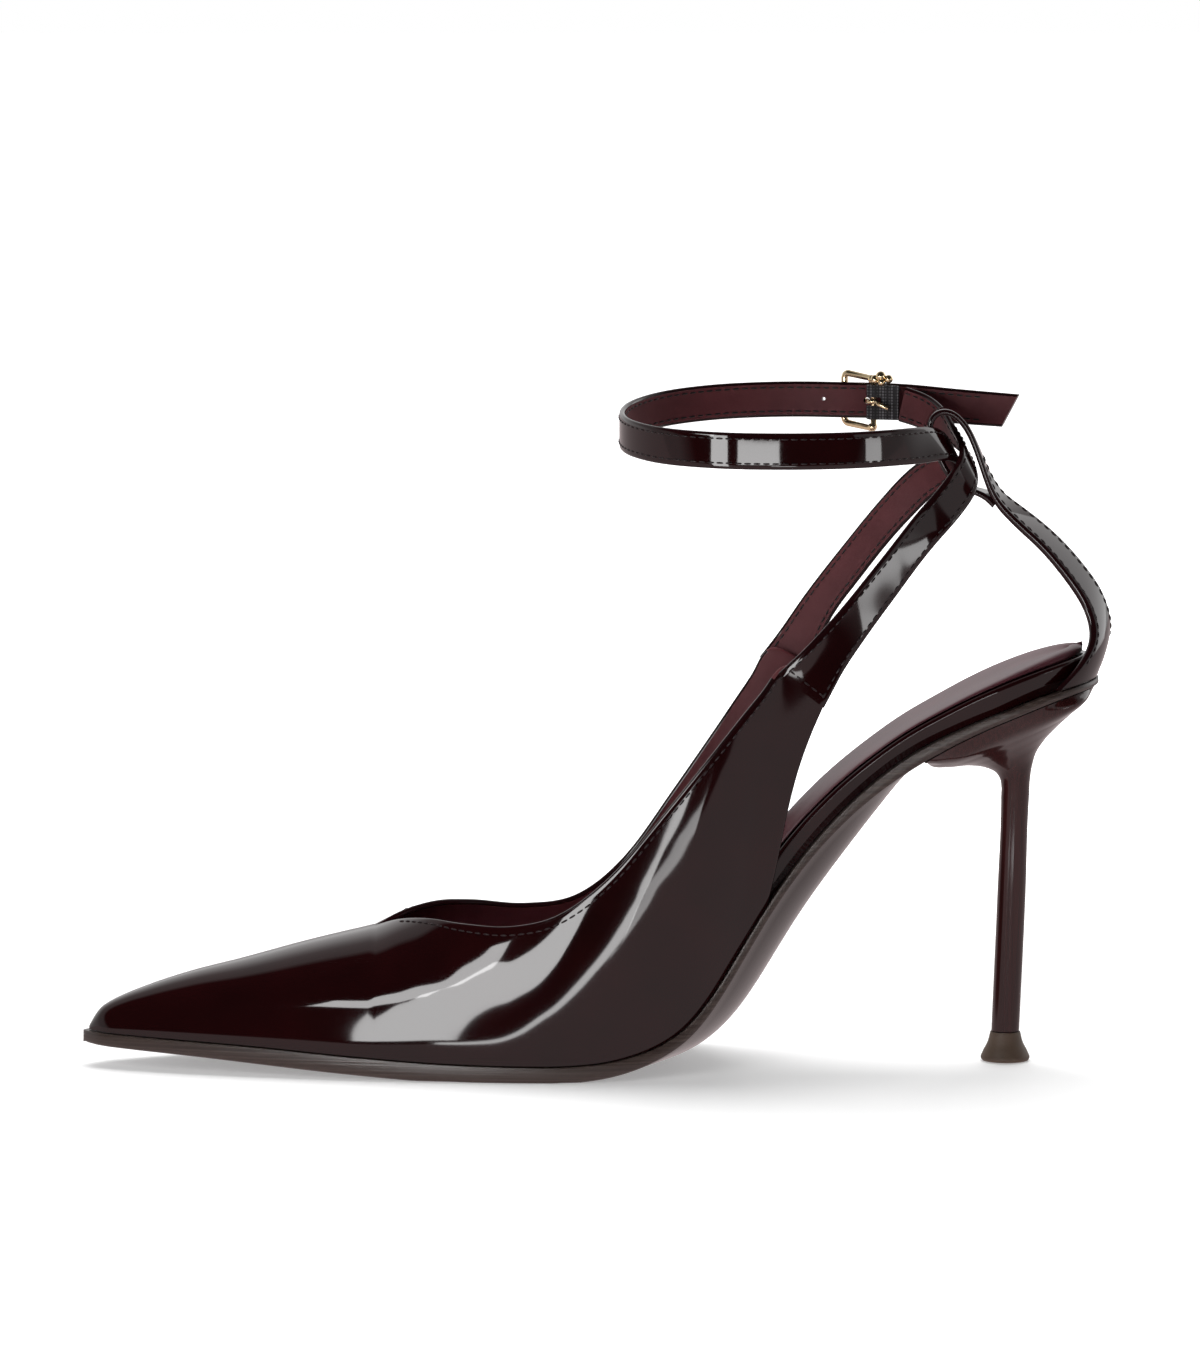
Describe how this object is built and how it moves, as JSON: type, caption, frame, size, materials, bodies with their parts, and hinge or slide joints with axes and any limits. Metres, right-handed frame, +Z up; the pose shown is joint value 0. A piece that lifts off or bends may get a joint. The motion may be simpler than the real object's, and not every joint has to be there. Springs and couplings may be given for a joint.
{
  "type": "slingback pump",
  "caption": "Pointed-toe stiletto pump with cut-away quarters, a sling back and crossed straps that run round the ankle to a side buckle.",
  "frame": {"origin": "middle of the shoe's footprint, on the floor", "axes": "+X from toe to heel, +Y to the outer side of the foot, +Z up"},
  "size_m": [0.2578, 0.0732, 0.1712],
  "materials": {
    "patent": "high gloss patent, very dark red",
    "lining": "semi-matte, dark red",
    "sole_leather": "polished dark brown edge and tread",
    "heel_cover": "glossy, very dark red brown",
    "top_piece": "matte brown",
    "elastic": "ribbed charcoal weave",
    "gold": "polished pale gold"
  },
  "bodies": {
    "root": {"outsole": "sole_leather", "footbed": "patent", "sock": "lining", "upper": "patent", "heel": "heel_cover", "heel_tip": "top_piece", "back_strap": "patent", "inner_strap": "patent", "ankle_strap": "patent", "elastic_tab": "elastic", "buckle_frame": "gold", "buckle_prong": "gold"}
  },
  "joints": []
}
